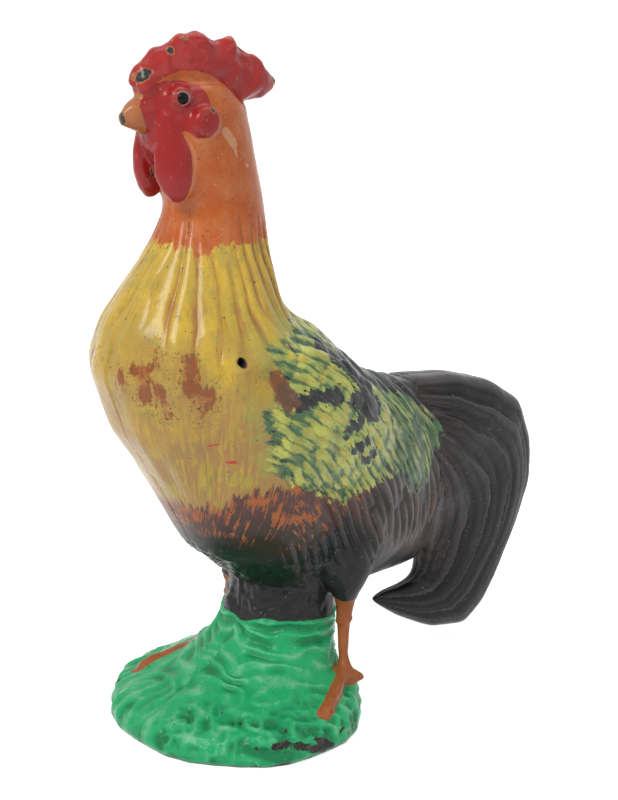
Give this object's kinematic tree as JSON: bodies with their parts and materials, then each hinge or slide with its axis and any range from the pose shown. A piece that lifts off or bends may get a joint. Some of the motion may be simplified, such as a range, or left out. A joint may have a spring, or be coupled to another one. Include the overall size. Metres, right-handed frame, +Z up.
{
  "type": "rooster ornament",
  "caption": "Standing painted rooster figure with lobed comb, long wattles and hooked feathered tail on a grassy mound, cast hollow in halves that one screw joins.",
  "frame": {"origin": "on the floor, below the middle of the figure's bounding box", "axes": "+Z up; the bird faces -Y with its tail towards +Y; +X is the bird's left side"},
  "size_m": [0.12, 0.2433, 0.2995],
  "materials": {
    "painted_casting": "hand-painted gloss enamel over cast iron, worn to dark metal on the edges",
    "screw_steel": "dulled steel with traces of paint in the slot"
  },
  "bodies": {
    "root": {"left_half": "painted_casting", "right_half": "painted_casting", "assembly_screw": "screw_steel"}
  },
  "joints": []
}
